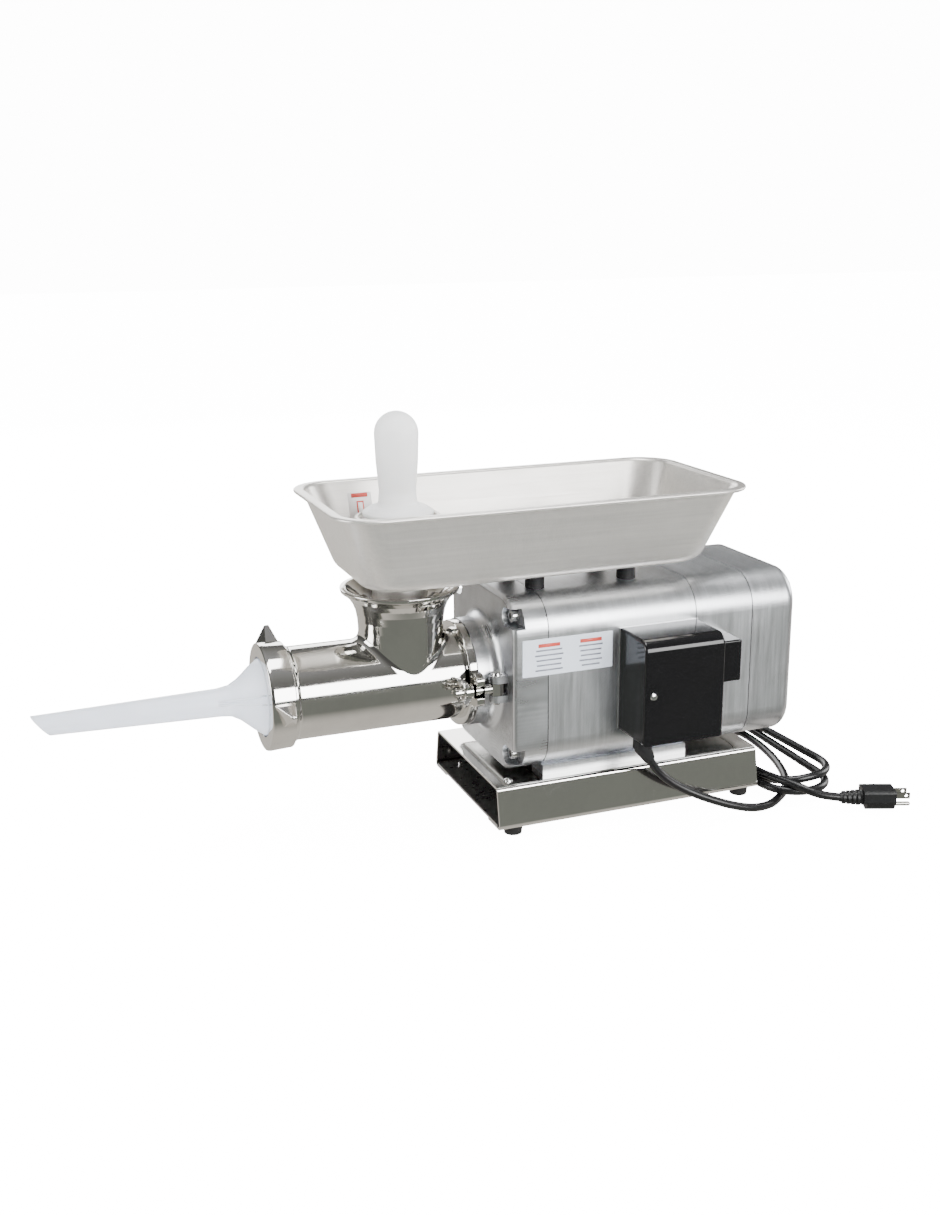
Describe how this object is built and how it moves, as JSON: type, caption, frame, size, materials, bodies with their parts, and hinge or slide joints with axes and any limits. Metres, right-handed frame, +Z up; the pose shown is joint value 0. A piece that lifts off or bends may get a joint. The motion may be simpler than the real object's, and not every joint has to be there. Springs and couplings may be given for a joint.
{
  "type": "electric meat grinder",
  "caption": "Benchtop meat grinder: geared motor on a folded steel base, clamped polished head with screw and stuffing tube, food tray, pusher, switch box and power cord.",
  "frame": {"origin": "on the bench under the middle of the folded base", "axes": "+X along the barrel from the grinding head to the rear of the motor, +Z up, the switch box on the -Y side"},
  "size_m": [0.882, 0.302, 0.4347],
  "materials": {
    "polished_stainless": "polished cast and sheet stainless steel",
    "brushed_stainless": "brushed stainless sheet",
    "plain_steel": "machined steel",
    "bright_fasteners": "zinc plated",
    "satin_aluminium": "satin brushed cast aluminium",
    "electrical_steel": "lacquered laminations",
    "copper": "enamelled copper",
    "black_enamel": "glossy black",
    "white_plastic": "satin white food-grade plastic",
    "grey_plastic": "plain",
    "black_rubber": "matte",
    "cord_jacket": "satin black PVC",
    "brass_plated": "plated brass",
    "label": "pale film, no lettering"
  },
  "bodies": {
    "motor_base": {"base_channel": "polished_stainless", "base_bottom_plate": "plain_steel", "rubber_feet": "black_rubber", "foot_screws": "bright_fasteners", "base_screw": "bright_fasteners", "gearbox_cover": "satin_aluminium", "motor_housing": "satin_aluminium", "rear_housing": "satin_aluminium", "rear_cap": "satin_aluminium", "rear_cap_screws": "bright_fasteners", "housing_gaskets": "black_rubber", "cover_bolts": "bright_fasteners", "motor_mount_bolts": "bright_fasteners", "grinder_head": "polished_stainless", "grinding_plate": "plain_steel", "swing_pins": "polished_stainless", "tray_posts": "black_rubber", "switch_box": "black_enamel", "box_back_plate": "plain_steel", "box_screw": "bright_fasteners", "cable_gland": "black_rubber", "run_capacitor": "grey_plastic", "terminal_block": "white_plastic", "side_box": "black_enamel", "rocker_frame": "black_enamel", "oil_seal": "black_rubber", "output_bearings": "plain_steel", "layshaft_bearings": "plain_steel", "motor_bearings": "plain_steel", "stator_core": "electrical_steel", "stator_windings": "copper", "instruction_plate": "label", "power_cord": "cord_jacket", "power_cord_end": "cord_jacket", "cord_coil": "cord_jacket", "plug_body": "cord_jacket", "plug_blades": "brass_plated"},
    "tray": {"food_tray": "brushed_stainless", "feed_guard": "brushed_stainless"},
    "pusher": {"feed_pusher": "white_plastic"},
    "stuffing": {"stuffing_tube": "white_plastic"},
    "clamp_ring": {"ring_nut": "polished_stainless"},
    "rotor": {"motor_shaft": "plain_steel", "motor_pinion": "plain_steel", "rotor_core": "electrical_steel", "cooling_fan": "white_plastic"},
    "countershaft": {"layshaft": "plain_steel", "layshaft_gear": "plain_steel", "layshaft_pinion": "plain_steel"},
    "output": {"output_shaft": "plain_steel", "output_gear": "plain_steel", "feed_screw": "plain_steel", "drive_stud": "plain_steel", "cross_knife": "plain_steel"},
    "near_bolt": {"swing_bolt_near": "polished_stainless"},
    "far_bolt": {"swing_bolt_far": "polished_stainless"},
    "near_nut": {"star_nut_near": "polished_stainless"},
    "far_nut": {"star_nut_far": "polished_stainless"},
    "rocker": {"rocker_switch": "black_enamel"},
    "button": {"reset_button": "black_enamel"}
  },
  "joints": [
    {"name": "tray_lift", "type": "slide", "parent": "motor_base", "child": "tray", "axis": [0, 0, 1], "range_m": [0, 0.12]},
    {"name": "pusher_stroke", "type": "slide", "parent": "tray", "child": "pusher", "axis": [0, 0, 1], "range_m": [0, 0.2]},
    {"name": "tube_travel", "type": "slide", "parent": "motor_base", "child": "stuffing", "axis": [-1, 0, 0], "range_m": [0, 0.01501]},
    {"name": "ring_nut_turn", "type": "hinge", "parent": "stuffing", "child": "clamp_ring", "pos_m": [-0.36, 0, 0.156], "axis": [-1, 0, 0], "range_deg": [0, 1800]},
    {"name": "motor_spin", "type": "hinge", "parent": "motor_base", "child": "rotor", "pos_m": [0.05, 0, 0.156], "axis": [1, 0, 0], "continuous": true},
    {"name": "countershaft_spin", "type": "hinge", "parent": "motor_base", "child": "countershaft", "pos_m": [0, -0.03394, 0.12206], "axis": [1, 0, 0], "continuous": true},
    {"name": "screw_spin", "type": "hinge", "parent": "motor_base", "child": "output", "pos_m": [-0.12, 0, 0.156], "axis": [1, 0, 0], "continuous": true},
    {"name": "near_bolt_swing", "type": "hinge", "parent": "motor_base", "child": "near_bolt", "pos_m": [-0.143, -0.065, 0.156], "axis": [0, 0, 1], "range_deg": [0, 80]},
    {"name": "far_bolt_swing", "type": "hinge", "parent": "motor_base", "child": "far_bolt", "pos_m": [-0.143, 0.065, 0.156], "axis": [0, 0, 1], "range_deg": [-80, 0]},
    {"name": "near_nut_turn", "type": "hinge", "parent": "near_bolt", "child": "near_nut", "pos_m": [-0.18, -0.065, 0.156], "axis": [1, 0, 0], "continuous": true},
    {"name": "far_nut_turn", "type": "hinge", "parent": "far_bolt", "child": "far_nut", "pos_m": [-0.18, 0.065, 0.156], "axis": [1, 0, 0], "continuous": true},
    {"name": "rocker_press", "type": "hinge", "parent": "motor_base", "child": "rocker", "pos_m": [0.1075, -0.1068, 0.17275], "axis": [0, 1, 0], "range_deg": [-14, 0]},
    {"name": "reset_press", "type": "slide", "parent": "motor_base", "child": "button", "axis": [-1, 0, 0], "range_m": [0, 0.003], "stiffness_N_per_m": 400}
  ],
  "couplings": [
    {"joint": "tube_travel", "follows": "ring_nut_turn", "m_per_rad": 0.00047746},
    {"joint": "countershaft_spin", "follows": "motor_spin", "ratio": -0.30612},
    {"joint": "screw_spin", "follows": "motor_spin", "ratio": 0.12605}
  ]
}
